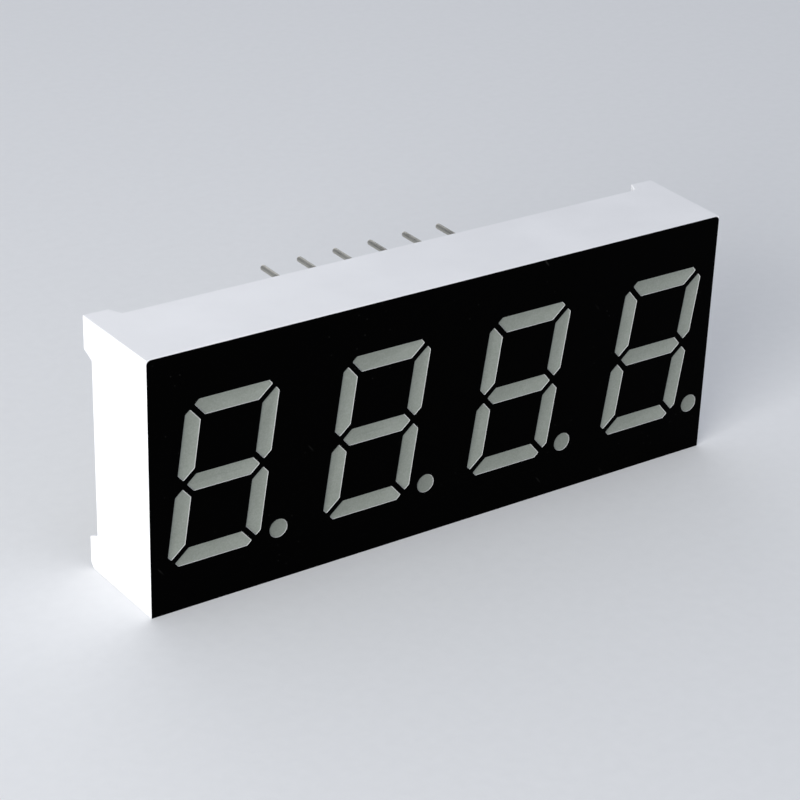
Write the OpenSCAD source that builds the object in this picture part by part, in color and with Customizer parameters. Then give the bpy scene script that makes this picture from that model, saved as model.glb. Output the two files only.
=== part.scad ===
// Four digit seven segment display module with two rows of through-hole pins.
// +X runs along the digits, +Z up the digits, and the lit face looks towards -Y.
// The origin is the centre of the pin pattern, on the plane that the feet stand on.

/* [Body] */
// Length of the housing along the digits, at its feet
body_w = 40.4; // [39.8:0.1:52]
// How far each end of the housing leans in from its feet to its lit face
end_draft = 0.2; // [0:0.05:0.3]
// Height of the housing
body_h = 16; // [15.4:0.1:24]
// Depth of the housing from its lit face to its back rim
body_d = 6; // [5.6:0.1:9]
// Thickness of the rim walls round the rear well
wall = 0.7; // [0.5:0.05:0.85]
// Depth of the solid reflector block behind the lit face
reflector_t = 3.4; // [2.6:0.1:3.6]

/* [Feet] */
// Width of a foot at its tip, along the digits
foot_w = 1.6; // [1.2:0.1:2.4]
// Height of a foot at its tip, up the digits
foot_h = 2.05; // [1.6:0.05:2.6]
// How far a foot stands out from the back rim
foot_t = 0.85; // [0.4:0.05:2]
// How much wider a foot is where it leaves the rim
foot_flank = 0.4; // [0.1:0.05:0.6]
// Chamfer on the outer edge of the two lower feet
foot_chamfer = 0.3; // [0.1:0.05:0.5]

/* [Digits] */
// Height of a digit
digit_h = 10.12; // [8:0.02:12.8]
// Width of a digit, measured square to its slant
digit_w = 6; // [4.8:0.01:6.4]
// Distance from one digit to the next
digit_pitch = 10.2; // [8.5:0.05:10.3]
// Height of the digits' centre above the middle of the face
digit_z = -0.1; // [-0.5:0.05:0.5]
// Lean of the digits in degrees
slant = 8; // [0:1:12]
// Width of a segment
seg_w = 1.05; // [0.85:0.01:1.3]
// Gap between neighbouring segments
seg_gap = 0.34; // [0.2:0.01:0.5]
// Size of the blunt end where two segments meet at an outer corner
tip_cut = 0.27; // [0.22:0.01:0.36]
// Distance of the middle segment's meeting point from the digit's side
node_in = 0.42; // [0.3:0.01:0.5]
// Radius on the corners of a segment
corner_r = 0.08; // [0.04:0.01:0.1]

/* [Decimal points] */
// Diameter of a decimal point
point_d = 1.2; // [1:0.05:1.4]
// Distance of a decimal point's centre from its digit's centre
point_x = 3.58; // [3.4:0.02:3.7]
// Diameter of a decimal point's funnel at the board
point_back_d = 0.85; // [0.75:0.05:0.95]

/* [Face] */
// Thickness of the black layer on the lit face
print_t = 0.03; // [0.02:0.01:0.1]
// White edge left bare round the black layer
print_inset = 0.02; // [0.02:0.01:0.2]
// Radius of the black layer's two upper corners
print_r = 0.3; // [0.1:0.05:1]
// White edge left bare round each segment
mouth_rim = 0.01; // [0.01:0.01:0.06]
// Depth of the resin below the housing's front surface
resin_recess = 0.01; // [0.01:0.01:0.2]
// How much each side of a funnel closes in towards the board
funnel_side = 0.1; // [0.02:0.01:0.12]
// How much each end of a funnel closes in towards the board
funnel_end = 1; // [0.2:0.1:1.1]

/* [Board] */
// Thickness of the circuit board
board_t = 1; // [0.6:0.1:1]
// Gap between the board and the walls of the rear well
board_clear = 0.05; // [0.02:0.01:0.15]
// Thickness of the copper
copper_t = 0.035; // [0.02:0.005:0.07]
// Width of the copper tracks
track_w = 0.3; // [0.2:0.02:0.36]
// Depth of the resin's back surface below the rim
resin_gap = 0.3; // [0.1:0.05:0.4]

/* [LED chips] */
// Side of a square chip
chip_w = 0.26; // [0.2:0.01:0.3]
// Height of a chip
chip_t = 0.2; // [0.1:0.01:0.25]
// Distance of a chip from the middle of its funnel
chip_off = 0.16; // [0.1:0.01:0.2]
// Width of the square pad under a chip
die_pad_w = 0.36; // [0.32:0.01:0.4]
// Width of the square pad under a wire's end
bond_pad_w = 0.24; // [0.16:0.01:0.26]
// Distance from a chip to the pad its wire ends on
wire_span = 0.38; // [0.36:0.01:0.4]
// Thickness of a bond wire
wire_t = 0.03; // [0.02:0.005:0.05]

/* [Pins] */
// Diameter of a pin
pin_d = 0.36; // [0.3:0.01:0.5]
// How much thicker, all round, a pin is where it starts at the board's front
root_swell = 0.05; // [0.02:0.01:0.08]
// Distance between neighbouring pins
pin_pitch = 2.54; // [2:0.01:3]
// Distance between the two rows of pins
row_pitch = 12.7; // [10.16:0.01:12.7]
// How far a pin reaches past the feet
pin_out = 3.9; // [2:0.05:8]
// Least radial gap between a pin and its hole in the board, filled by solder
hole_gap = 0.1; // [0.05:0.01:0.14]
// Diameter of the copper pad round a pin
pin_pad_d = 1.25; // [1.15:0.05:1.35]
// Height of the solder round a pin
solder_h = 0.6; // [0.3:0.05:0.8]
// Bare edge of a pad round its solder
pad_edge = 0.08; // [0.02:0.01:0.12]

/* [Hidden] */
DIGITS = [1, 2, 3, 4];
pins_per_row = 6;
LETTERS = ["a", "b", "c", "d", "e", "f", "g"];
A = 0;
B = 1;
C = 2;
D = 3;
E = 4;
F = 5;
G = 6;
POINT = 7;
LAMPS = [A, B, C, D, E, F, G, POINT];
// Neighbouring lamps whose pads share one track, round each digit
COMMON_LINKS = [[A, B], [B, C], [C, D], [D, E], [E, F], [F, A], [G, F], [POINT, C]];
PINS = [for (i = [1:2 * pins_per_row]) i];
SEGMENTS = [for (d = DIGITS) for (s = LETTERS) str("segment_", d, s)];
POINTS = [for (d = DIGITS) str("point_", d)];
CHIPS = [for (d = DIGITS) str("led_chips_", d)];
WIRES = [for (d = DIGITS) str("bond_wires_", d)];
PIN_NODES = [for (i = PINS) str("pin_", i)];

cut = 0.1; // how far a cutting tool runs past the face it opens
corner_steps = 3;
solder_steps = 4;
round_fn = 48;

// Depths along Y, from the lit face at the front to the pins' tips at the back
y_front = -(body_d + foot_t);
y_shell = y_front + print_t;
y_plug = y_shell + resin_recess;
y_reflector = y_front + reflector_t;
y_board = y_reflector + copper_t;
y_board_back = y_board + board_t;
y_copper_back = y_board_back + copper_t;
y_rim = -foot_t;
y_resin = y_rim - resin_gap;

// Half the housing's length at depth y
function half_w(y) = body_w / 2 + end_draft * y / (body_d + foot_t);

// Corner posts carry the feet through the rear well, so they are as wide as the feet's roots
post_w = foot_w + foot_flank;
post_h = foot_h + foot_flank;
well_w = body_w - 2 * wall;
well_h = body_h - 2 * wall;

lean = tan(slant);
mitre = seg_gap / sqrt(2);
point_z = -(digit_h - seg_w) / 2;
pin_r = pin_d / 2;
hole_r = pin_r + root_swell + hole_gap;
pad_r = pin_pad_d / 2;
solder_r = pad_r - pad_edge;
via_r = track_w * 0.9;
bus_pitch = 2 * (via_r + track_w / 2);
bus_count = 5;
bus_half = pin_pitch * (pins_per_row - 1) / 2;
bus_step = pin_pitch / 2;
stub_drop = 2.2;

function digit_x(d) = (d - (len(DIGITS) + 1) / 2) * digit_pitch;
function lean_over(p) = [p[0] + p[1] * lean, p[1]];
function flip_x(ring) = [for (i = [len(ring) - 1:-1:0]) [-ring[i][0], ring[i][1]]];
function flip_z(ring) = [for (i = [len(ring) - 1:-1:0]) [ring[i][0], -ring[i][1]]];

// Upright outlines, all drawn from the digit's centre and closed in by `inset` on every side.
// Segment a, along the top of the digit.
function top_ring(w, h, s, e, t) = [
    [-w + e + s, h - s],
    [w - e - s, h - s],
    [w - e - t, h - t],
    [w - e - 2 * t, h],
    [-w + e + 2 * t, h],
    [-w + e + t, h - t]
];
// Segment f, the upper left side.
function side_ring(w, h, s, e, t, n) = [
    [-w + n, e],
    [-w + s, s - n + e],
    [-w + s, h - e - s],
    [-w + t, h - e - t],
    [-w, h - e - 2 * t],
    [-w, n + e]
];
// Segment g, across the middle.
function middle_ring(w, s, e, n) = [
    [-w + n + e, 0],
    [-w + n + e + s / 2, -s / 2],
    [w - n - e - s / 2, -s / 2],
    [w - n - e, 0],
    [w - n - e - s / 2, s / 2],
    [-w + n + e + s / 2, s / 2]
];
function upright_ring(letter, inset) =
    let (
        w = digit_w / 2 - inset,
        h = digit_h / 2 - inset,
        s = seg_w - 2 * inset,
        e = mitre + inset * sqrt(2),
        t = tip_cut - inset,
        n = node_in - inset,
        top = top_ring(w, h, s, e, t),
        side = side_ring(w, h, s, e, t, n)
    )
    letter == A ? top
    : letter == B ? flip_x(side)
    : letter == C ? flip_x(flip_z(side))
    : letter == D ? flip_z(top)
    : letter == E ? flip_z(side)
    : letter == F ? side
    : middle_ring(w, s, e, n);

// Upright centre of a lamp and the direction that its funnel is longest in, from the digit's centre
side_x = (digit_w - seg_w) / 2;
side_z = digit_h / 4 - seg_w / 4;
LAMP_CENTRE = [
    [0, -point_z], [side_x, side_z], [side_x, -side_z], [0, point_z],
    [-side_x, -side_z], [-side_x, side_z], [0, 0], [point_x - point_z * lean, point_z]
];
LAMP_ALONG = [[1, 0], [0, 1], [0, -1], [1, 0], [0, -1], [0, 1], [1, 0], [0, -1]];
function lamp_at(lamp, along) = lean_over(LAMP_CENTRE[lamp] + along * LAMP_ALONG[lamp]);

function shortened(ring, letter, by) = [
    for (p = ring)
        let (off = p - LAMP_CENTRE[letter], along = LAMP_ALONG[letter])
            p - sign(off * along) * by * along
];

function bent(a, b, c, u) = (1 - u) * (1 - u) * a + 2 * u * (1 - u) * b + u * u * c;
// Each corner of a ring becomes a short curve that leaves and meets its sides smoothly.
function rounded(ring) = [
    for (i = [0:len(ring) - 1])
        let (
            p = ring[i],
            before = ring[(i + len(ring) - 1) % len(ring)] - p,
            after = ring[(i + 1) % len(ring)] - p,
            a = before / norm(before),
            b = after / norm(after),
            reach = corner_r * sqrt((1 + a * b) / (1 - a * b))
        )
            for (k = [0:corner_steps]) bent(p + a * reach, p, p + b * reach, k / corner_steps)
];

// Outline of a segment's funnel at depth y: widest at the housing's front, narrowest at the board.
function funnel_ring(letter, y) =
    let (share = (y - y_shell) / (y_reflector - y_shell))
        [
            for (p = rounded(shortened(
                upright_ring(letter, mouth_rim + funnel_side * share), letter, funnel_end * share
            )))
                lean_over(p)
        ];
function window_ring(letter) = [for (p = rounded(upright_ring(letter, 0))) lean_over(p)];

// A plate drawn in the XZ plane, from depth y0 to depth y1
module plate(y0, y1) {
    translate([0, y1, 0]) rotate([90, 0, 0]) linear_extrude(y1 - y0) children();
}

// A solid that runs from ring `a` at depth ya to ring `b` at depth yb
module loft(a, ya, b, yb) {
    n = len(a);
    polyhedron(
        points = concat([for (p = a) [p[0], ya, p[1]]], [for (p = b) [p[0], yb, p[1]]]),
        faces = concat(
            [[for (i = [n - 1:-1:0]) i]],
            [[for (i = [0:n - 1]) n + i]],
            [for (i = [0:n - 1]) [i, (i + 1) % n, n + (i + 1) % n, n + i]]
        )
    );
}

module at_digit(d) {
    translate([digit_x(d), 0, digit_z]) children();
}

module at_digit_plane(d) {
    translate([digit_x(d), digit_z]) children();
}

module segment_form(letter, y0, y1) {
    loft(funnel_ring(letter, y0), y0, funnel_ring(letter, y1), y1);
}

// The funnel behind a decimal point is a plain cone.
module point_form(y0, y1) {
    share0 = (y0 - y_shell) / (y_reflector - y_shell);
    share1 = (y1 - y_shell) / (y_reflector - y_shell);
    mouth_r = point_d / 2 - mouth_rim;
    back_r = point_back_d / 2;
    translate([point_x, y1, point_z])
        rotate([90, 0, 0])
            cylinder(
                h = y1 - y0,
                r1 = mouth_r + (back_r - mouth_r) * share1,
                r2 = mouth_r + (back_r - mouth_r) * share0,
                $fn = round_fn
            );
}

// Wedge that leaves a foot `tip` wide at the seating plane and `root` wide at the rim
module flank_profile(tip, root) {
    polygon([[0, y_reflector], [root, y_reflector], [root, y_rim], [tip, 0], [0, 0]]);
}

// One corner post with its foot, in the corner at the origin and growing towards +X and +Z
module foot_post(chamfer) {
    difference() {
        intersection() {
            linear_extrude(post_h) flank_profile(foot_w, post_w);
            rotate([90, 0, 90]) linear_extrude(post_w) mirror([1, 0]) rotate(90)
                flank_profile(foot_h, post_h);
        }
        if (chamfer > 0)
            rotate([90, 0, 90])
                translate([0, 0, -cut])
                    linear_extrude(post_w + 2 * cut)
                        polygon([[-chamfer, -cut], [-chamfer, 0], [0, chamfer], [cut, chamfer], [cut, -cut]]);
    }
}

module each_corner() {
    for (sx = [-1, 1])
        for (sz = [-1, 1])
            translate([sx * body_w / 2, 0, sz * body_h / 2])
                mirror([sx > 0 ? 1 : 0, 0, 0])
                    mirror([0, 0, sz > 0 ? 1 : 0])
                        foot_post(sz < 0 ? foot_chamfer : 0);
}

// Everything between the leaning ends, from the housing's front surface to its feet's tips
module between_ends() {
    half = half_w(y_shell);
    translate([0, 0, -body_h / 2])
        linear_extrude(body_h)
            polygon([[-half, y_shell], [half, y_shell], [body_w / 2, 0], [-body_w / 2, 0]]);
}

// The rear well's outline, closed in by `clear`, with its corners left to the posts
module well_outline(clear) {
    difference() {
        square([well_w - 2 * clear, well_h - 2 * clear], center = true);
        for (sx = [-1, 1])
            for (sz = [-1, 1])
                translate([sx * body_w / 2, sz * body_h / 2])
                    square([2 * (post_w + clear), 2 * (post_h + clear)], center = true);
    }
}

module housing() {
    color("white")
        difference() {
            intersection() {
                between_ends();
                union() {
                    translate([-body_w / 2, y_shell, -body_h / 2])
                        cube([body_w, y_rim - y_shell, body_h]);
                    each_corner();
                }
            }
            plate(y_reflector, y_rim + cut) well_outline(0);
            for (d = DIGITS)
                at_digit(d) {
                    for (letter = [A:G]) segment_form(letter, y_shell - cut, y_reflector + cut);
                    point_form(y_shell - cut, y_reflector + cut);
                }
        }
}

module print_outline() {
    w = 2 * (half_w(y_front) - print_inset);
    h = body_h - 2 * print_inset;
    hull() {
        translate([-w / 2, -h / 2]) square([w, h / 2]);
        for (sx = [-1, 1])
            translate([sx * (w / 2 - print_r), h / 2 - print_r])
                circle(r = print_r, $fn = round_fn);
    }
}

module face_print() {
    color([0.03, 0.03, 0.03])
        plate(y_front, y_shell)
            difference() {
                print_outline();
                for (d = DIGITS)
                    at_digit_plane(d) {
                        for (letter = [A:G]) polygon(window_ring(letter));
                        translate([point_x, point_z]) circle(d = point_d, $fn = round_fn);
                    }
            }
}

module segment(d, letter) {
    color([0.6, 0.63, 0.6])
        difference() {
            at_digit(d) segment_form(letter, y_plug, y_reflector);
            lamp_chip(d, letter);
            lamp_wire(d, letter);
        }
}

module point(d) {
    color([0.6, 0.63, 0.6])
        difference() {
            at_digit(d) point_form(y_plug, y_reflector);
            lamp_chip(d, POINT);
            lamp_wire(d, POINT);
        }
}

// Places children at a lamp's chip, with +X turned to run towards its bond pad
module at_chip(d, lamp) {
    chip = lamp_at(lamp, -chip_off);
    pad = lamp_at(lamp, wire_span - chip_off);
    way = pad - chip;
    at_digit(d) translate([chip[0], 0, chip[1]]) rotate([0, -atan2(way[1], way[0]), 0]) children();
}

module lamp_chip(d, lamp) {
    at_chip(d, lamp)
        translate([-chip_w / 2, y_reflector - chip_t, -chip_w / 2])
            cube([chip_w, chip_t, chip_w]);
}

// An arch from the chip's top to the pad beside it
module wire_outline() {
    outer = (wire_span + wire_t) / 2;
    translate([wire_span / 2, chip_t])
        difference() {
            circle(r = outer, $fn = round_fn);
            circle(r = outer - wire_t, $fn = round_fn);
            translate([-outer - cut, -outer - cut]) square([2 * (outer + cut), outer + cut]);
        }
    translate([wire_span - wire_t / 2, 0]) square([wire_t, chip_t]);
}

module lamp_wire(d, lamp) {
    at_chip(d, lamp)
        translate([0, y_reflector, -wire_t / 2])
            linear_extrude(wire_t) mirror([0, 1]) wire_outline();
}

module led_chips(d) {
    color([0.75, 0.68, 0.3])
        for (lamp = LAMPS) lamp_chip(d, lamp);
}

module bond_wires(d) {
    color("gold")
        for (lamp = LAMPS) lamp_wire(d, lamp);
}

function pin_x(i) = ((i - 1) % pins_per_row - (pins_per_row - 1) / 2) * pin_pitch;
function pin_z(i) = (i > pins_per_row ? 1 : -1) * row_pitch / 2;
// Radius of a pin's swaged root, which tapers from the board's front to the rim
function root_r(y) = pin_r + root_swell * (y_rim - y) / (y_rim - y_board);

module at_pin(i) {
    translate([pin_x(i), 0, pin_z(i)]) rotate([-90, 0, 0]) children();
}

module circuit_board() {
    color([0.86, 0.84, 0.74])
        difference() {
            plate(y_board, y_board_back) well_outline(board_clear);
            for (i = PINS)
                at_pin(i)
                    translate([0, 0, y_board - cut])
                        cylinder(r = hole_r, h = board_t + 2 * cut, $fn = round_fn);
        }
}

module track(p, q) {
    way = q - p;
    translate(p)
        rotate(atan2(way[1], way[0]))
            translate([0, -track_w / 2])
                square([norm(way), track_w]);
}

module disc(p, r) {
    translate(p) circle(r = r, $fn = round_fn);
}

// Pads under one digit's chips, the track that joins them, and the pads that the wires end on
module front_copper_outline() {
    for (link = COMMON_LINKS) track(lamp_at(link[0], -chip_off), lamp_at(link[1], -chip_off));
    for (lamp = LAMPS) {
        die = lamp_at(lamp, -chip_off);
        bond = lamp_at(lamp, wire_span - chip_off);
        way = bond - die;
        translate(die) rotate(atan2(way[1], way[0])) square(die_pad_w, center = true);
        translate(bond) rotate(atan2(way[1], way[0])) square(bond_pad_w, center = true);
    }
}

module board_front_copper() {
    color([0.8, 0.6, 0.3])
        for (d = DIGITS)
            plate(y_reflector, y_board)
                at_digit_plane(d) front_copper_outline();
}

// Each pin's pad leads over a short stub to a via, and five buses cross the board between the rows.
module back_copper_outline() {
    for (i = PINS) {
        at = [pin_x(i), pin_z(i)];
        in = [pin_x(i), pin_z(i) - sign(pin_z(i)) * stub_drop];
        difference() {
            union() {
                disc(at, pad_r);
                track(at, in);
            }
            disc(at, hole_r);
        }
        disc(in, via_r);
    }
    for (k = [0:bus_count - 1]) {
        z = (k - (bus_count - 1) / 2) * bus_pitch;
        half = bus_half + k * bus_step;
        track([-half, z], [half, z]);
        disc([-half, z], via_r);
        disc([half, z], via_r);
    }
}

module board_back_copper() {
    color([0.8, 0.6, 0.3]) plate(y_board_back, y_copper_back) back_copper_outline();
}

module pin_root(y0, y1) {
    translate([0, 0, y0]) cylinder(r1 = root_r(y0), r2 = root_r(y1), h = y1 - y0, $fn = round_fn);
}

module pin(i) {
    color([0.55, 0.54, 0.5])
        at_pin(i) {
            pin_root(y_board, y_rim);
            translate([0, 0, y_rim]) cylinder(r = pin_r, h = pin_out - pin_r - y_rim, $fn = round_fn);
            translate([0, 0, pin_out - pin_r]) sphere(r = pin_r, $fn = round_fn);
        }
}

// Solder fills the board's hole round each pin and climbs the pin in a hollow-sided cone.
module solder_fill() {
    rotate_extrude($fn = round_fn)
        polygon(concat(
            [[0, y_copper_back + solder_h], [0, y_board], [hole_r, y_board], [hole_r, y_copper_back]],
            [
                for (k = [0:solder_steps])
                    let (share = k / solder_steps, y = y_copper_back + solder_h * share * share)
                        [root_r(y) + (solder_r - root_r(y_copper_back)) * (1 - share) * (1 - share), y]
            ]
        ));
}

module solder_joints() {
    color([0.75, 0.76, 0.78])
        for (i = PINS)
            at_pin(i)
                difference() {
                    solder_fill();
                    pin_root(y_board - cut, y_rim);
                }
}

module back_resin() {
    color([0.85, 0.84, 0.78, 0.5])
        difference() {
            plate(y_board_back, y_resin) well_outline(0);
            plate(y_board_back - cut, y_copper_back) back_copper_outline();
            for (i = PINS)
                at_pin(i) {
                    pin_root(y_board_back - cut, y_rim);
                    solder_fill();
                }
        }
}

housing();
face_print();
for (d = DIGITS)
    for (letter = [A:G])
        segment(d, letter);
for (d = DIGITS) {
    point(d);
    led_chips(d);
    bond_wires(d);
}
circuit_board();
board_front_copper();
board_back_copper();
for (i = PINS)
    pin(i);
solder_joints();
back_resin();
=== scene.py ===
"""Looks, studio and camera of a four digit seven segment display module.

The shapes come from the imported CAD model, which is the frame.  +X runs along the digits, +Z up
the digits, and the lit face looks towards -Y.  Lengths are in metres, and patterns are laid out
in millimetres.
"""

import sys
import logging
import math
from collections.abc import Mapping, Sequence
from dataclasses import dataclass, field
from enum import Enum
from typing import Union

import bmesh
import bpy
from mathutils import Matrix, Vector


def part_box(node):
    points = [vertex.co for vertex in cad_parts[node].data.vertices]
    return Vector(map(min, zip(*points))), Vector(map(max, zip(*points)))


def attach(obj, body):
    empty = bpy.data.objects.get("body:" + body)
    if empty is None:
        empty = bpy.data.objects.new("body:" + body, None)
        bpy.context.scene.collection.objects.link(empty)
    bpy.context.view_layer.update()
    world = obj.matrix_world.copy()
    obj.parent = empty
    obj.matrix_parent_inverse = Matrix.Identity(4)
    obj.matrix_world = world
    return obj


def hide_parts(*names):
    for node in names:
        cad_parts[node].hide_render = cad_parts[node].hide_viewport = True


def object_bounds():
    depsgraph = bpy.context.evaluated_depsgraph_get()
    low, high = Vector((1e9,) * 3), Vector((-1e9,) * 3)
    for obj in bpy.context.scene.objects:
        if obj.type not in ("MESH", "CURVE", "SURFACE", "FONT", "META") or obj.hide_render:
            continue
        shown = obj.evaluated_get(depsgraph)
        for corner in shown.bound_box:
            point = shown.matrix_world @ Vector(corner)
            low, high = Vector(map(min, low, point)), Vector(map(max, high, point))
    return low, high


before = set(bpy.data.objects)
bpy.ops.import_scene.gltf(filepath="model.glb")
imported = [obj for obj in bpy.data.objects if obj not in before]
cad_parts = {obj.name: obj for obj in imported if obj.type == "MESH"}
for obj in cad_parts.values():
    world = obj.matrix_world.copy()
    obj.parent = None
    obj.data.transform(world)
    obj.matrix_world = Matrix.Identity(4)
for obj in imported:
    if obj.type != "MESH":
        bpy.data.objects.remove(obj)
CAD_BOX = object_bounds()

log = logging.getLogger("display_module")

MM = 0.001
TINY = 0.001 * MM
DIGITS = (1, 2, 3, 4)
SEGMENTS = "abcdefg"
PINS_PER_ROW = 6
FOOT_HEIGHT = 0.85 * MM
# Faces that lie closer in direction than this, in degrees, are one flat face
FLAT_ANGLE = 0.4
# Width of one band of a Wave Texture whose scale is 1
BAND_WIDTH = 0.314
# Sockets of a Mix node that mixes colours
MIX_SHARE, MIX_LOW, MIX_HIGH, MIX_RESULT = 0, 6, 7, 2

Colour = tuple[float, float, float]
Point = tuple[float, float, float]
Number = Union["Amount", float]
Settings = Mapping[str, object]
Inputs = Mapping[str | int, object]


class Amount:
    """A number that varies over a surface, held as the socket that gives it."""

    def __init__(self, desk: "Desk", socket: bpy.types.NodeSocket) -> None:
        """Wraps a socket.

        Args:
            desk: The material being built.
            socket: The output socket that gives the number.
        """
        self.desk = desk
        self.socket = socket

    def __add__(self, other: Number) -> "Amount":
        """The sum."""
        return self.desk.math("ADD", self, other)

    def __sub__(self, other: Number) -> "Amount":
        """The difference."""
        return self.desk.math("SUBTRACT", self, other)

    def __rsub__(self, other: Number) -> "Amount":
        """The difference, with the number on the left."""
        return self.desk.math("SUBTRACT", other, self)

    def __mul__(self, other: Number) -> "Amount":
        """The product."""
        return self.desk.math("MULTIPLY", self, other)

    __radd__ = __add__
    __rmul__ = __mul__

    def rises(self, low: float, high: float) -> "Amount":
        """A smooth step.

        Args:
            low: The number below which the result is 0.
            high: The number above which the result is 1.

        Returns:
            A number from 0 to 1.
        """
        settings = {"interpolation_type": "SMOOTHSTEP"}
        inputs = {"Value": self, "From Min": low, "From Max": high}
        return Amount(self.desk, self.desk.node("ShaderNodeMapRange", settings, inputs).outputs[0])


class NodeSheet:
    """A node tree while it is being put together."""

    def __init__(self, tree: bpy.types.NodeTree) -> None:
        """Takes a tree to work on.

        Args:
            tree: A node tree.
        """
        self.tree = tree

    def node(
        self, kind: str, settings: Settings | None = None, inputs: Inputs | None = None
    ) -> bpy.types.Node:
        """Makes any node.

        Args:
            kind: The node's type.
            settings: Its own settings, which are set first.
            inputs: The value or the link of each socket, by name or index.

        Returns:
            The new node.
        """
        made = self.tree.nodes.new(kind)
        for name, value in (settings or {}).items():
            setattr(made, name, value)
        for name, value in (inputs or {}).items():
            if isinstance(value, Amount):
                value = value.socket
            if isinstance(value, bpy.types.NodeSocket):
                self.tree.links.new(value, made.inputs[name])
            else:
                made.inputs[name].default_value = value
        return made


class Desk(NodeSheet):
    """One material while its nodes are being put together."""

    def __init__(self, name: str) -> None:
        """Starts an empty material.

        Args:
            name: The finish's name.
        """
        self.material = bpy.data.materials.new(name)
        self.material.use_nodes = True
        super().__init__(self.material.node_tree)
        self.tree.nodes.clear()
        place = self.node("ShaderNodeTexCoord").outputs["Object"]
        scaled = {"Vector": place, "Scale": 1 / MM}
        self.place = self.node("ShaderNodeVectorMath", {"operation": "SCALE"}, scaled).outputs[0]

    def math(self, operation: str, *terms: Number) -> Amount:
        """One step of arithmetic.

        Args:
            operation: The Math node's operation.
            terms: What it works on.

        Returns:
            The result.
        """
        made = self.node("ShaderNodeMath", {"operation": operation}, dict(enumerate(terms)))
        return Amount(self, made.outputs[0])

    def stretched(self, stretch: Point, turn: float = 0.0) -> bpy.types.NodeSocket:
        """The place on the piece, for a pattern that is longer one way than another.

        Args:
            stretch: How many times longer the pattern is along each axis.
            turn: Angle about Y that the pattern is turned by, in degrees.

        Returns:
            A vector in millimetres.
        """
        where = self.place
        if turn:
            about, inputs = {"rotation_type": "Y_AXIS"}, {"Vector": where, "Angle": math.radians(turn)}
            where = self.node("ShaderNodeVectorRotate", about, inputs).outputs[0]
        inputs = {0: where, 1: tuple(1 / s for s in stretch)}
        return self.node("ShaderNodeVectorMath", {"operation": "MULTIPLY"}, inputs).outputs[0]

    def cloud(
        self, size: float, detail: float = 2.0, stretch: Point = (1, 1, 1), turn: float = 0.0
    ) -> Amount:
        """Soft random variation.

        Args:
            size: Size of one lump in millimetres.
            detail: How many finer layers lie on it.
            stretch: How many times longer a lump is along each axis.
            turn: Angle about Y that the lumps are turned by, in degrees.

        Returns:
            A number round 0.5.
        """
        inputs = {"Vector": self.stretched(stretch, turn), "Scale": 1 / size, "Detail": detail}
        return Amount(self, self.node("ShaderNodeTexNoise", None, inputs).outputs["Fac"])

    def spots(
        self, size: float, stretch: Point = (1, 1, 1), turn: float = 0.0, flat: bool = False
    ) -> Amount:
        """Distance from scattered points.

        Args:
            size: Typical distance between two points in millimetres.
            stretch: How many times further apart the points are along each axis.
            turn: Angle about Y that the pattern is turned by, in degrees.
            flat: Whether the points lie in the plane of the lit face.

        Returns:
            The distance to the nearest point, as a share of size.
        """
        where, settings = self.stretched(stretch, turn), {}
        if flat:
            along = self.node("ShaderNodeSeparateXYZ", None, {0: where}).outputs
            onto = {"X": along["X"], "Y": along["Z"]}
            where = self.node("ShaderNodeCombineXYZ", None, onto).outputs[0]
            settings = {"voronoi_dimensions": "2D"}
        inputs = {"Vector": where, "Scale": 1 / size}
        made = self.node("ShaderNodeTexVoronoi", settings, inputs)
        return Amount(self, made.outputs["Distance"])

    def stored(self, name: str) -> Amount:
        """A number that the mesh carries at each of its points."""
        made = self.node("ShaderNodeAttribute", {"attribute_name": name})
        return Amount(self, made.outputs["Fac"])

    def tint(
        self, share: Amount, low: Colour | bpy.types.NodeSocket, high: Colour
    ) -> bpy.types.NodeSocket:
        """A colour between two.

        Args:
            share: 0 gives the first colour and 1 the second.
            low: The first colour, or the socket that gives it.
            high: The second colour.

        Returns:
            The colour's socket.
        """
        first = low if isinstance(low, bpy.types.NodeSocket) else (*low, 1.0)
        inputs = {MIX_SHARE: share, MIX_LOW: first, MIX_HIGH: (*high, 1.0)}
        return self.node("ShaderNodeMix", {"data_type": "RGBA"}, inputs).outputs[MIX_RESULT]

    def relief(self, height: Amount, depth: float) -> bpy.types.NodeSocket:
        """Fine relief on the surface.

        Args:
            height: The relief's height, from 0 to 1.
            depth: What a height of 1 is, in millimetres.

        Returns:
            The normal's socket.
        """
        inputs = {"Strength": 1.0, "Distance": depth * MM, "Height": height}
        return self.node("ShaderNodeBump", None, inputs).outputs["Normal"]

    def surface(self, inputs: Mapping[str, object]) -> bpy.types.Material:
        """Closes the material.

        Args:
            inputs: The value or the link of each of the shader's sockets.

        Returns:
            The finished material.
        """
        shader = self.node("ShaderNodeBsdfPrincipled", None, inputs)
        self.node("ShaderNodeOutputMaterial", None, {"Surface": shader.outputs[0]})
        return self.material


@dataclass(frozen=True)
class MouldedPlastic:
    """White moulded plastic with a fine satin skin."""

    slot: str = "white_plastic"
    low: Colour = (0.84, 0.84, 0.85)
    high: Colour = (0.88, 0.88, 0.89)
    roughness: float = 0.42
    grain: float = 0.22
    grain_depth: float = 0.003

    def material(self) -> bpy.types.Material:
        """Builds the finish."""
        desk = Desk(self.slot)
        mottle = desk.cloud(5.0, 3.0).rises(0.3, 0.7)
        grain = desk.cloud(self.grain, 3.0)
        return desk.surface(
            {
                "Base Color": desk.tint(mottle, self.low, self.high),
                "Roughness": grain * 0.12 + mottle * 0.05 + (self.roughness - 0.08),
                "Normal": desk.relief(grain, self.grain_depth),
            }
        )


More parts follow.
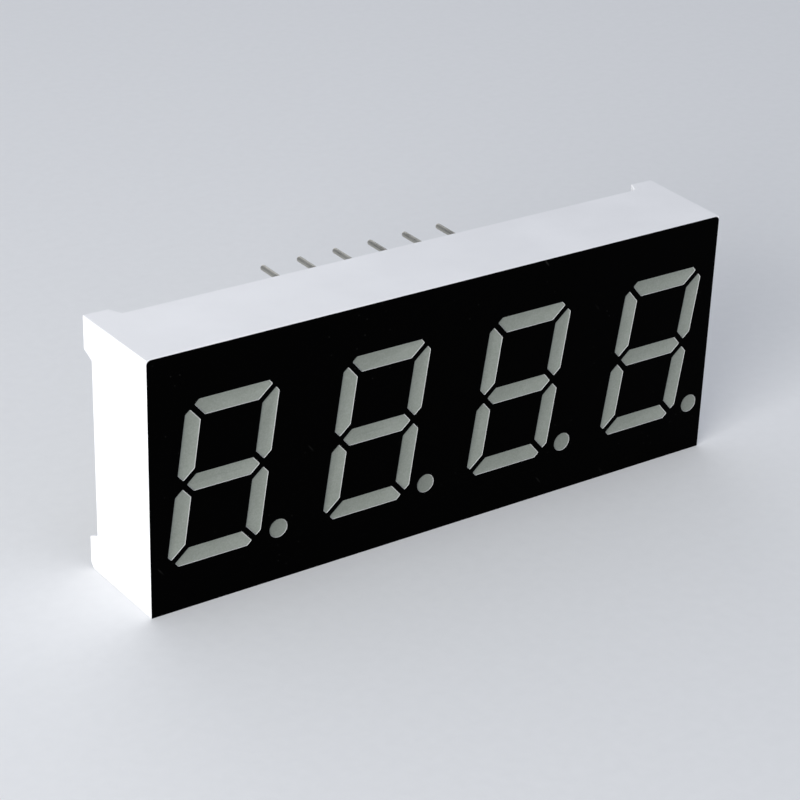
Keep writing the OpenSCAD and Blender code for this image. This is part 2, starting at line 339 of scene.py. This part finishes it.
@dataclass(frozen=True)
class MattInk:
    """Dense black ink on the lit face, with a few faint rubs and specks of dust."""

    slot: str = "black_ink"
    ink: Colour = (0.0002, 0.0002, 0.0002)
    rub: Colour = (0.017, 0.017, 0.016)
    roughness: float = 0.5
    gloss: float = 0.01
    stipple_size: float = 0.12
    mark_lean: float = 38.0

    def material(self) -> bpy.types.Material:
        """Builds the finish."""
        desk = Desk(self.slot)
        stipple = desk.cloud(self.stipple_size, 2.0)
        where = desk.cloud(4.0, 1.0).rises(0.55, 0.7)
        rubs = 1 - desk.spots(2.2, (1, 1, 6), self.mark_lean, flat=True).rises(0.012, 0.03)
        dust = 1 - desk.spots(1.3, flat=True).rises(0.02, 0.045)
        marks = (rubs * 0.7 + dust * 0.5) * where
        return desk.surface(
            {
                "Base Color": desk.tint(marks, self.ink, self.rub),
                "Roughness": stipple * 0.14 + marks * 0.2 + (self.roughness - 0.07),
                "Specular IOR Level": self.gloss,
                "Normal": desk.relief(stipple, 0.002),
            }
        )


@dataclass(frozen=True)
class CastResin:
    """Grey diffusing resin cast into the windows, paler where it meets the white walls."""

    name: str = "segment_resin"
    slot: str = "segment_resin"
    # shade is the painted shade colour at each window's upper left, where the wall's shadow falls;
    # light is the lit colour towards its lower right
    shade: Colour = (0.187, 0.206, 0.176)
    light: Colour = (0.258, 0.278, 0.248)
    rim: Colour = (0.36, 0.38, 0.36)
    roughness: float = 0.5
    grain: float = 0.09
    streak: float = 1.3

    def material(self) -> bpy.types.Material:
        """Builds the finish."""
        desk = Desk(self.name)
        grain = desk.cloud(self.grain, 3.0)
        cloud = desk.cloud(self.streak, 2.0)
        # Painted shade: the stored ramp darkens each window towards its upper left, and cloud and
        # grain add the resin's own random tone
        share = desk.stored("across") * 0.6 + cloud * 0.4 + grain * 1.2 - 0.6
        body = desk.tint(share.rises(0.0, 1.0), self.shade, self.light)
        return desk.surface(
            {
                "Base Color": desk.tint(desk.stored("rim"), body, self.rim),
                "Roughness": grain * 0.2 + (self.roughness - 0.1),
                "Normal": desk.relief(grain, 0.004),
            }
        )


@dataclass(frozen=True)
class WovenLaminate:
    """Glass cloth laminate, with its weave just showing."""

    slot: str = "board_laminate"
    low: Colour = (0.56, 0.53, 0.38)
    high: Colour = (0.68, 0.65, 0.50)
    thread: float = 0.45

    def material(self) -> bpy.types.Material:
        """Builds the finish."""
        desk = Desk(self.slot)
        waves = []
        for direction in ("X", "Z"):
            inputs = {"Vector": desk.place, "Scale": BAND_WIDTH / self.thread, "Distortion": 0.6}
            made = desk.node("ShaderNodeTexWave", {"bands_direction": direction}, inputs)
            waves.append(Amount(desk, made.outputs["Fac"]))
        weave = waves[0] * waves[1]
        resin = desk.cloud(2.0, 3.0)
        return desk.surface(
            {
                "Base Color": desk.tint(weave * 0.7 + resin * 0.4, self.low, self.high),
                "Roughness": resin * 0.1 + 0.3,
                "Normal": desk.relief(weave, 0.006),
            }
        )


@dataclass(frozen=True)
class Metal:
    """A bare metal with drawn or cast marks."""

    slot: str
    low: Colour
    high: Colour
    roughness: float
    grain: float = 0.2
    stretch: Point = (1, 1, 1)
    grain_depth: float = 0.003

    def material(self) -> bpy.types.Material:
        """Builds the finish."""
        desk = Desk(self.slot)
        grain = desk.cloud(self.grain, 3.0, self.stretch)
        stain = desk.cloud(1.2, 2.0).rises(0.35, 0.65)
        return desk.surface(
            {
                "Base Color": desk.tint(stain * 0.6 + grain * 0.4, self.low, self.high),
                "Metallic": 1.0,
                "Roughness": grain * 0.2 + stain * 0.08 + (self.roughness - 0.14),
                "Normal": desk.relief(grain, self.grain_depth),
            }
        )


@dataclass(frozen=True)
class ChipCrystal:
    """Pale crystal of the light emitting chips."""

    slot: str = "chip_crystal"
    low: Colour = (0.45, 0.36, 0.08)
    high: Colour = (0.62, 0.52, 0.16)
    saw_mark: float = 0.03

    def material(self) -> bpy.types.Material:
        """Builds the finish."""
        desk = Desk(self.slot)
        saw = desk.cloud(self.saw_mark, 2.0, (1, 4, 1))
        return desk.surface(
            {
                "Base Color": desk.tint(saw, self.low, self.high),
                "Roughness": saw * 0.2 + 0.2,
                "Normal": desk.relief(saw, 0.002),
            }
        )


@dataclass(frozen=True)
class PottingEpoxy:
    """Milky epoxy poured into the back, with small bubbles under its skin."""

    slot: str = "potting_resin"
    low: Colour = (0.74, 0.73, 0.66)
    high: Colour = (0.84, 0.83, 0.78)
    cover: float = 0.24
    bubble_gap: float = 1.4

    def material(self) -> bpy.types.Material:
        """Builds the finish."""
        desk = Desk(self.slot)
        milk = desk.cloud(3.5, 3.0).rises(0.25, 0.75)
        bubbles = 1 - desk.spots(self.bubble_gap).rises(0.05, 0.11)
        swirl = desk.cloud(1.5, 1.0)
        return desk.surface(
            {
                "Base Color": desk.tint(milk + bubbles * 0.5, self.low, self.high),
                "Alpha": milk * 0.14 + bubbles * 0.15 + (self.cover - 0.07),
                "Roughness": swirl * 0.1 + 0.12,
                "Coat Weight": 0.4,
                "Coat Roughness": 0.1,
                "Normal": desk.relief(swirl - bubbles * 0.3, 0.02),
            }
        )


@dataclass(frozen=True)
class StudioPaper:
    """Pale paper under the module."""

    name: str = "studio_paper"
    low: Colour = (0.78, 0.785, 0.79)
    high: Colour = (0.82, 0.825, 0.83)

    def material(self) -> bpy.types.Material:
        """Builds the finish."""
        desk = Desk(self.name)
        fibre = desk.cloud(0.8, 4.0)
        return desk.surface(
            {
                "Base Color": desk.tint(fibre, self.low, self.high),
                "Roughness": 0.85,
                "Specular IOR Level": 0.1,
                "Normal": desk.relief(fibre, 0.01),
            }
        )


SEGMENT_RESIN = CastResin()
# The points' resin is darker, with its own painted shade and lit colours for the same ramp
POINT_RESIN = CastResin(
    "point_resin", shade=(0.150, 0.166, 0.142), light=(0.205, 0.222, 0.198), rim=(0.33, 0.35, 0.33)
)
Finish = Union[MouldedPlastic, MattInk, CastResin, WovenLaminate, Metal, ChipCrystal, PottingEpoxy]

TINNED_PIN = Metal("pin_metal", (0.35, 0.34, 0.30), (0.47, 0.46, 0.41), 0.3, 0.05, (1, 14, 1))
SOLDER = Metal("solder", (0.56, 0.57, 0.59), (0.72, 0.73, 0.75), 0.34, 0.25)
COPPER = Metal("board_copper", (0.62, 0.40, 0.20), (0.80, 0.55, 0.30), 0.38, 0.15)
GOLD = Metal("bond_gold", (0.85, 0.60, 0.22), (0.95, 0.70, 0.32), 0.3, 0.02)


class Wardrobe:
    """Makes each finish once and hands it out."""

    def __init__(self) -> None:
        """Starts empty."""
        self._made: dict[Finish, bpy.types.Material] = {}

    def fetch(self, finish: Finish) -> bpy.types.Material:
        """The material of a finish, made at the first call."""
        if finish not in self._made:
            self._made[finish] = finish.material()
        return self._made[finish]

    def dress_node(self, node: str, finish: Finish) -> None:
        """Gives a CAD node its finish.

        Args:
            node: The node's name.
            finish: What it is made of.
        """
        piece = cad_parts[node]
        if not piece.material_slots:
            piece.data.materials.append(None)
        for held in piece.material_slots:
            held.material = self.fetch(finish)
        log.info("%s keeps its CAD shape, in %s", node, finish.slot)

    def add_piece(
        self, name: str, mesh: bpy.types.Mesh, finish: Finish, stands_for: Sequence[str]
    ) -> bpy.types.Object:
        """Adds a finished piece to the module.

        Args:
            name: The piece's name.
            mesh: Its mesh, in place.
            finish: What it is made of.
            stands_for: The CAD nodes that it is shown instead of.

        Returns:
            The piece.
        """
        mesh.name = name
        mesh.materials.clear()
        mesh.materials.append(self.fetch(finish))
        piece = bpy.data.objects.new(name, mesh)
        bpy.context.scene.collection.objects.link(piece)
        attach(piece, "root")
        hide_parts(*stands_for)
        log.info("%s: %d faces, in %s", name, len(mesh.polygons), finish.slot)
        return piece


class Shading(Enum):
    """Which edges of a mesh stay sharp, by the angle between their faces in degrees."""

    CRISP = 20.0
    ROUND = 50.0


def merged(node: str) -> bmesh.types.BMesh:
    """A copy of a CAD node as one joined surface, with its flat faces whole again.

    Args:
        node: The node's name.

    Returns:
        The copy, in place.
    """
    copy = bmesh.new()
    copy.from_mesh(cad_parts[node].data)
    bmesh.ops.remove_doubles(copy, verts=copy.verts, dist=TINY / 2)
    bmesh.ops.dissolve_limit(
        copy, angle_limit=math.radians(FLAT_ANGLE), verts=copy.verts, edges=copy.edges
    )
    return copy


def as_mesh(source: bmesh.types.BMesh, shading: Shading) -> bpy.types.Mesh:
    """Turns a working mesh into a final one.

    Args:
        source: The working mesh, which is used up.
        shading: Which of its edges stay sharp.

    Returns:
        The final mesh.
    """
    mesh = bpy.data.meshes.new("piece")
    source.to_mesh(mesh)
    source.free()
    mesh.shade_smooth()
    mesh.set_sharp_from_angle(angle=math.radians(shading.value))
    return mesh


def evaluated(piece: bpy.types.Object) -> bpy.types.Mesh:
    """The mesh that a piece's modifiers give. The piece itself is removed.

    Args:
        piece: An object that is used up.

    Returns:
        A plain mesh.
    """
    graph = bpy.context.evaluated_depsgraph_get()
    mesh = bpy.data.meshes.new_from_object(
        piece.evaluated_get(graph), preserve_all_data_layers=True, depsgraph=graph
    )
    bpy.data.objects.remove(piece)
    return mesh


def helper(name: str, mesh: bpy.types.Mesh) -> bpy.types.Object:
    """An object that only lives while a piece is being made.

    Args:
        name: Its name.
        mesh: Its mesh.

    Returns:
        The object, in the scene.
    """
    made = bpy.data.objects.new(name, mesh)
    bpy.context.scene.collection.objects.link(made)
    return made


def turned(profile: Sequence[tuple[float, float]], sides: int) -> bpy.types.Mesh:
    """A round solid about the Y axis.

    Args:
        profile: Radius and Y of each point of its outline. A radius of 0 closes an end.
        sides: How many sides its rounds have.

    Returns:
        The solid's mesh, with its faces outwards.
    """
    work = bmesh.new()
    rings = []
    for radius, along in profile:
        if radius == 0:
            rings.append([work.verts.new((0, along, 0))] * sides)
            continue
        angles = [2 * math.pi * k / sides for k in range(sides)]
        rings.append(
            [work.verts.new((radius * math.cos(a), along, radius * math.sin(a))) for a in angles]
        )
    for first, second in zip(rings, rings[1:]):
        for k in range(sides):
            corners = (first[k - 1], first[k], second[k], second[k - 1])
            work.faces.new(tuple(dict.fromkeys(corners)))
    bmesh.ops.recalc_face_normals(work, faces=work.faces)
    return as_mesh(work, Shading.ROUND)


@dataclass
class Housing:
    """The white shell with its reflector block, rear well and four feet."""

    wardrobe: Wardrobe
    finish: MouldedPlastic = MouldedPlastic()
    edge_radius: float = 0.05 * MM
    front_share: float = 0.4
    edge_steps: int = 3
    sharp: float = math.radians(25)

    def build(self) -> None:
        """Rounds the shell's outer edges, less so round the lit face, and dresses it."""
        shell = merged("housing")
        weights = shell.edges.layers.float.new("bevel_weight_edge")
        low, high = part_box("housing")
        front = {corner for corner in shell.verts if corner.co.y < low.y + TINY}
        # Each end leans in towards the lit face, so it starts at the lit face's own width
        end = max(corner.co.x for corner in front)
        for edge in shell.edges:
            if self._is_outer(edge, Vector((end, high.y, high.z))):
                edge[weights] = self.front_share if front.issuperset(edge.verts) else 1.0
        work = helper("housing_work", as_mesh(shell, Shading.CRISP))
        rounding = work.modifiers.new("rounding", "BEVEL")
        rounding.limit_method = "WEIGHT"
        rounding.width = self.edge_radius
        rounding.segments = self.edge_steps
        levelling = work.modifiers.new("levelling", "WEIGHTED_NORMAL")
        levelling.keep_sharp = True
        self.wardrobe.add_piece("housing_shell", evaluated(work), self.finish, ["housing"])

    def _is_outer(self, edge: bmesh.types.BMEdge, limit: Vector) -> bool:
        """Whether an edge is a sharp one on the outside, the rim or a foot.

        Args:
            edge: An edge of the shell.
            limit: Where the outside starts along X and Z, and the feet's tips along Y.

        Returns:
            True if the mould rounds it.
        """
        if len(edge.link_faces) != 2 or abs(edge.calc_face_angle(0.0)) < self.sharp:
            return False
        points = [corner.co for corner in edge.verts]
        at_end = all(abs(p.x) > limit.x - TINY for p in points)
        at_side = all(abs(p.z) > limit.z - TINY for p in points)
        behind = all(p.y > limit.y - FOOT_HEIGHT - TINY for p in points)
        return at_end or at_side or behind


@dataclass
class LitFace:
    """The black ink and the resin that fills its windows."""

    wardrobe: Wardrobe
    ink: MattInk = MattInk()
    edge_widths: tuple[float, ...] = (0.03 * MM, 0.04 * MM)
    edge_drops: tuple[float, ...] = (0.009 * MM, 0.005 * MM)

    def build(self) -> None:
        """Dresses the ink and casts every window."""
        self.wardrobe.dress_node("face_print", self.ink)
        for digit in DIGITS:
            for letter in SEGMENTS:
                self._cast(f"segment_{digit}{letter}", SEGMENT_RESIN)
            self._cast(f"point_{digit}", POINT_RESIN)

    def _cast(self, node: str, resin: CastResin) -> None:
        """Makes one window's resin, with a skin that sinks away from the walls that it wetted.

        Args:
            node: The CAD node that it stands for.
            resin: Its finish.
        """
        cast = merged(node)
        low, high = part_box(node)
        skin = [f for f in cast.faces if all(v.co.y < low.y + TINY for v in f.verts)]
        inner = skin if len(skin) == 1 else bmesh.ops.dissolve_faces(cast, faces=skin)["region"]
        for width, drop in zip(self.edge_widths, self.edge_drops):
            bmesh.ops.inset_region(
                cast, faces=inner, thickness=width, depth=-drop, use_even_offset=True
            )
        rim = cast.verts.layers.float.new("rim")
        # A ramp of painted shade: 0 at a window's upper left, where the wall's shadow falls, rising to
        # 1 at its lower right
        across = cast.verts.layers.float.new("across")
        floor = low.y + sum(self.edge_drops)
        for corner in cast.verts:
            corner[rim] = max(0.0, min(1.0, (floor - corner.co.y) / (floor - low.y)))
            right = (corner.co.x - low.x) / (high.x - low.x)
            down = (high.z - corner.co.z) / (high.z - low.z)
            corner[across] = (right + down) / 2
        self.wardrobe.add_piece(f"{node}_cast", as_mesh(cast, Shading.ROUND), resin, [node])


@dataclass
class Board:
    """The circuit board with its copper, chips and bond wires."""

    wardrobe: Wardrobe

    def build(self) -> None:
        """Dresses the board and what sits on it."""
        self.wardrobe.dress_node("circuit_board", WovenLaminate())
        for side in ("front", "back"):
            self.wardrobe.dress_node(f"board_{side}_copper", COPPER)
        for digit in DIGITS:
            self.wardrobe.dress_node(f"led_chips_{digit}", ChipCrystal())
            self.wardrobe.dress_node(f"bond_wires_{digit}", GOLD)


@dataclass
class PinGrid:
    """A node tree that repeats one turned part at every pin."""

    tree: bpy.types.NodeTree = field(init=False)
    sockets: dict[str, str] = field(init=False, default_factory=dict)

    def __post_init__(self) -> None:
        """Builds the tree, row by row."""
        self.tree = bpy.data.node_groups.new("pin_grid", "GeometryNodeTree")
        sheet = NodeSheet(self.tree)
        ports = self.tree.interface
        for name, kind in (
            ("Geometry", "NodeSocketGeometry"),
            ("Part", "NodeSocketObject"),
            ("Pins Per Row", "NodeSocketInt"),
            ("Pitch", "NodeSocketFloat"),
            ("Row Spacing", "NodeSocketFloat"),
            ("Finish", "NodeSocketMaterial"),
        ):
            made = ports.new_socket(name, in_out="INPUT", socket_type=kind)
            self.sockets[name] = made.identifier
        ports.new_socket("Geometry", in_out="OUTPUT", socket_type="NodeSocketGeometry")

        def times(first: object, second: object) -> bpy.types.NodeSocket:
            """The product of two numbers or sockets."""
            factors = {0: first, 1: second}
            return sheet.node("ShaderNodeMath", {"operation": "MULTIPLY"}, factors).outputs[0]

        given = sheet.node("NodeGroupInput").outputs
        step = sheet.node("ShaderNodeCombineXYZ", None, {"X": given["Pitch"]}).outputs[0]
        count = given["Pins Per Row"]
        spaces = sheet.node("ShaderNodeMath", {"operation": "SUBTRACT"}, {0: count, 1: 1})
        start_x = times(times(spaces.outputs[0], given["Pitch"]), -0.5)
        both = sheet.node("GeometryNodeJoinGeometry")
        for side in (-0.5, 0.5):
            corner = {"X": start_x, "Z": times(given["Row Spacing"], side)}
            start = sheet.node("ShaderNodeCombineXYZ", None, corner).outputs[0]
            line = {"Count": count, "Start Location": start, "Offset": step}
            row = sheet.node("GeometryNodeMeshLine", None, line)
            self.tree.links.new(row.outputs[0], both.inputs[0])
        part = sheet.node("GeometryNodeObjectInfo", None, {"Object": given["Part"]})
        copies = {"Points": both.outputs[0], "Instance": part.outputs["Geometry"]}
        spread = sheet.node("GeometryNodeInstanceOnPoints", None, copies)
        real = sheet.node("GeometryNodeRealizeInstances", None, {0: spread.outputs[0]})
        finish = {"Geometry": real.outputs[0], "Material": given["Finish"]}
        dressed = sheet.node("GeometryNodeSetMaterial", None, finish)
        sheet.node("NodeGroupOutput", None, {0: dressed.outputs[0]})

    def repeat(
        self, part: bpy.types.Mesh, pitch: float, row_spacing: float, finish: bpy.types.Material
    ) -> bpy.types.Mesh:
        """Repeats a part at every pin.

        Args:
            part: The part, made about the Y axis.
            pitch: Distance between neighbouring pins.
            row_spacing: Distance between the two rows.
            finish: The part's material.

        Returns:
            One mesh with a copy of the part at each pin.
        """
        source = helper("pin_part", part)
        grid = helper("pin_grid_work", bpy.data.meshes.new("pin_grid_work"))
        repeating = grid.modifiers.new("grid", "NODES")
        repeating.node_group = self.tree
        values = {
            "Part": source,
            "Pins Per Row": PINS_PER_ROW,
            "Pitch": pitch,
            "Row Spacing": row_spacing,
            "Finish": finish,
        }
        for name, value in values.items():
            repeating[self.sockets[name]] = value
        mesh = evaluated(grid)
        bpy.data.objects.remove(source)
        return mesh


@dataclass
class Pins:
    """The two rows of tinned pins and the solder round each."""

    wardrobe: Wardrobe
    grid: PinGrid
    thickness: float = 0.36 * MM
    pad_edge: float = 0.08 * MM
    pad_width: float = 1.25 * MM
    solder_height: float = 0.6 * MM
    sides: int = 40
    tip_steps: int = 6
    collar_steps: int = 10

    def build(self) -> None:
        """Makes the pins and the solder."""
        names = [f"pin_{k + 1}" for k in range(2 * PINS_PER_ROW)]
        self._add("pins", self._pin_profile(), TINNED_PIN, names)
        self._add("solder_collars", self._collar_profile(), SOLDER, ["solder_joints"])

    def _rim(self) -> float:
        """Depth of the housing's back rim, where a pin's root ends."""
        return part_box("housing")[1].y - FOOT_HEIGHT

    def _radius_at(self, along: float) -> float:
        """Radius of a pin's swaged root, which tapers from the board's front to the rim.

        Args:
            along: A depth between the two.

        Returns:
            The radius there.
        """
        low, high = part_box("pin_1")
        root, shaft, rim = (high.x - low.x) / 2, self.thickness / 2, self._rim()
        return shaft + (root - shaft) * (rim - along) / (rim - low.y)

    def _pin_profile(self) -> list[tuple[float, float]]:
        """The outline of one pin, from the board's front to its rounded tip."""
        low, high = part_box("pin_1")
        shaft = self.thickness / 2
        tip = [
            (shaft * math.cos(a), high.y - shaft + shaft * math.sin(a))
            for a in (math.pi / 2 * k / self.tip_steps for k in range(self.tip_steps))
        ]
        root = self._radius_at(low.y)
        return [(0, low.y), (root, low.y), (shaft, self._rim()), *tip, (0, high.y)]

    def _collar_profile(self) -> list[tuple[float, float]]:
        """The outline of one solder collar, which climbs its pin in a hollow curve."""
        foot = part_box("board_back_copper")[1].y
        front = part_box("solder_joints")[0].y
        reach = self.pad_width / 2 - self.pad_edge - self._radius_at(foot)
        curve = []
        for k in range(self.collar_steps + 1):
            share = k / self.collar_steps
            along = foot + self.solder_height * share * share
            curve.append((self._radius_at(along) + reach * (1 - share) ** 2, along))
        return [(0, front), (self._radius_at(front), front), (curve[0][0], foot), *curve, (0, along)]

    def _add(
        self, name: str, profile: list[tuple[float, float]], finish: Metal, nodes: list[str]
    ) -> None:
        """Turns an outline and repeats it at every pin.

        Args:
            name: The piece's name.
            profile: The outline of one part.
            finish: Its metal.
            nodes: The CAD nodes that the piece stands for.
        """
        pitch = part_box("pin_2")[0].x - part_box("pin_1")[0].x
        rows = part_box(f"pin_{PINS_PER_ROW + 1}")[0].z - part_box("pin_1")[0].z
        part = turned(profile, self.sides)
        mesh = self.grid.repeat(part, pitch, rows, self.wardrobe.fetch(finish))
        self.wardrobe.add_piece(name, mesh, finish, nodes)


@dataclass
class Potting:
    """The milky resin that closes the rear well."""

    wardrobe: Wardrobe
    finish: PottingEpoxy = PottingEpoxy()
    edge_widths: tuple[float, ...] = (0.06 * MM, 0.1 * MM)
    edge_drops: tuple[float, ...] = (0.05 * MM, 0.03 * MM)
    clearance: float = 0.01 * MM

    def build(self) -> None:
        """Makes the resin as a slab whose skin climbs the walls and the pins a little."""
        slab = merged("back_resin")
        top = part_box("back_resin")[1].y
        skin = [f for f in slab.faces if all(v.co.y > top - TINY for v in f.verts)]
        rest = [f for f in slab.faces if f not in set(skin)]
        bmesh.ops.delete(slab, geom=rest, context="FACES")
        gap = bmesh.ops.inset_region(
            slab,
            faces=slab.faces[:],
            thickness=self.clearance,
            use_even_offset=True,
            use_boundary=True,
        )
        bmesh.ops.delete(slab, geom=gap["faces"], context="FACES")
        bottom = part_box("board_back_copper")[1].y + self.clearance
        under = bmesh.ops.extrude_face_region(slab, geom=slab.faces[:])["geom"]
        for corner in (v for v in under if isinstance(v, bmesh.types.BMVert)):
            corner.co.y = bottom
        bmesh.ops.recalc_face_normals(slab, faces=slab.faces)
        skin = [f for f in slab.faces if all(v.co.y > top - TINY for v in f.verts)]
        for width, drop in zip(self.edge_widths, self.edge_drops):
            bmesh.ops.inset_region(
                slab, faces=skin, thickness=width, depth=-drop, use_even_offset=True
            )
        mesh = as_mesh(slab, Shading.ROUND)
        self.wardrobe.add_piece("potting_slab", mesh, self.finish, ["back_resin"])


@dataclass(frozen=True)
class Softbox:
    """One soft studio light."""

    name: str
    azimuth: float
    elevation: float
    distance: float
    size: float
    power: float
    colour: Colour

    def build(self, centre: Vector) -> None:
        """Hangs the light.

        Args:
            centre: The point that it shines at.
        """
        light = bpy.data.lights.new(self.name, "AREA")
        light.shape = "SQUARE"
        light.size = self.size
        light.energy = self.power
        light.color = self.colour
        turn, rise = math.radians(self.azimuth), math.radians(self.elevation)
        level = math.cos(rise)
        back = Vector((math.sin(turn) * level, -math.cos(turn) * level, math.sin(rise)))
        hung = bpy.data.objects.new(self.name, light)
        hung.matrix_world = Matrix.LocRotScale(
            centre + back * self.distance, (-back).to_track_quat("-Z", "Y"), None
        )
        bpy.context.scene.collection.objects.link(hung)


@dataclass
class Studio:
    """The floor, the lights and the camera."""

    floor_half: float = 1.5
    sky: Colour = (0.43, 0.45, 0.50)
    lights: tuple[Softbox, ...] = (
        Softbox("key", -62, 16, 0.36, 0.22, 1.35, (1.0, 0.995, 0.98)),
        Softbox("overhead", 20, 82, 0.4, 0.3, 0.18, (0.92, 0.96, 1.0)),
        Softbox("behind", 165, 9, 0.5, 0.3, 0.45, (1.0, 0.99, 0.98)),
    )
    camera_place: Point = (-72.307 * MM, -104.547 * MM, 61.788 * MM)
    camera_turn: Point = (63.1817, -1.7018, -34.2705)
    lens: float = 104.589
    sensor: float = 36.0
    sight: tuple[float, float] = (MM, 10.0)

    def build(self) -> None:
        """Sets the studio up round the module."""
        self._lay_floor()
        self._fill_sky()
        low, high = CAD_BOX
        for light in self.lights:
            light.build((low + high) / 2)
        self._place_camera()
        bpy.context.scene.view_settings.view_transform = "Standard"

    def _lay_floor(self) -> None:
        """Lays a plain floor under the module."""
        under = CAD_BOX[0].z
        work = bmesh.new()
        bmesh.ops.create_grid(work, x_segments=2, y_segments=2, size=self.floor_half)
        bmesh.ops.translate(work, verts=work.verts, vec=(0, 0, under))
        mesh = as_mesh(work, Shading.CRISP)
        mesh.materials.append(StudioPaper().material())
        helper("floor", mesh)
        log.info("floor at z = %.1f mm", under / MM)

    def _fill_sky(self) -> None:
        """Surrounds the studio with an even pale light."""
        world = bpy.data.worlds.new("studio")
        world.use_nodes = True
        world.node_tree.nodes["Background"].inputs["Color"].default_value = (*self.sky, 1.0)
        bpy.context.scene.world = world

    def _place_camera(self) -> None:
        """Places the camera that sees the module from its upper left."""
        camera = bpy.data.cameras.new("camera")
        camera.lens = self.lens
        camera.sensor_width = self.sensor
        camera.clip_start, camera.clip_end = self.sight
        held = bpy.data.objects.new("camera", camera)
        held.location = self.camera_place
        held.rotation_euler = [math.radians(angle) for angle in self.camera_turn]
        bpy.context.scene.collection.objects.link(held)
        bpy.context.scene.camera = held


def main() -> None:
    """Builds the module and its studio, piece by piece."""
    logging.basicConfig(level=logging.INFO, format="%(name)s: %(message)s", stream=sys.stdout)
    wardrobe = Wardrobe()
    Studio().build()
    Housing(wardrobe).build()
    LitFace(wardrobe).build()
    Board(wardrobe).build()
    Pins(wardrobe, PinGrid()).build()
    Potting(wardrobe).build()


if __name__ == "__main__":
    main()
